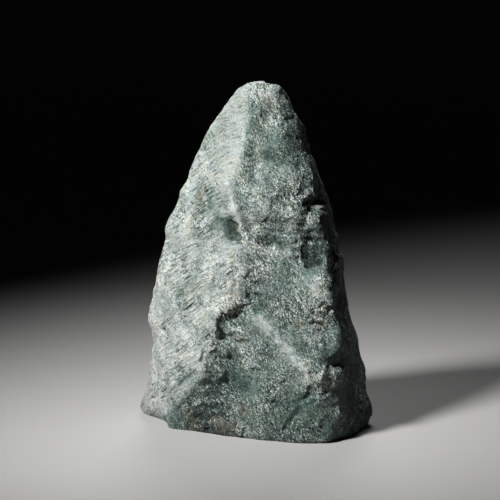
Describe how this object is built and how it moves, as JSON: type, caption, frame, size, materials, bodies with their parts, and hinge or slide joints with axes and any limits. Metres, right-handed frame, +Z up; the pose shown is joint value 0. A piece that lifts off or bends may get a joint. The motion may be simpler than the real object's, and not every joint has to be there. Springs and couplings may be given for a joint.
{
  "type": "raw jade boulder",
  "caption": "Tall broken block of rough green nephrite that tapers to a blunt top and stands on a sawn flat foot.",
  "frame": {"origin": "middle of the block's outer box, on the sawn foot's plane", "axes": "+Z up along the block's height, -Y towards the viewer of the broken front, +X to that viewer's right"},
  "size_m": [0.2068, 0.1476, 0.2995],
  "materials": {
    "jade": "rough broken nephrite, dull, pale bruised ridges over dark green"
  },
  "bodies": {
    "root": {"jade_boulder": "jade"}
  },
  "joints": []
}
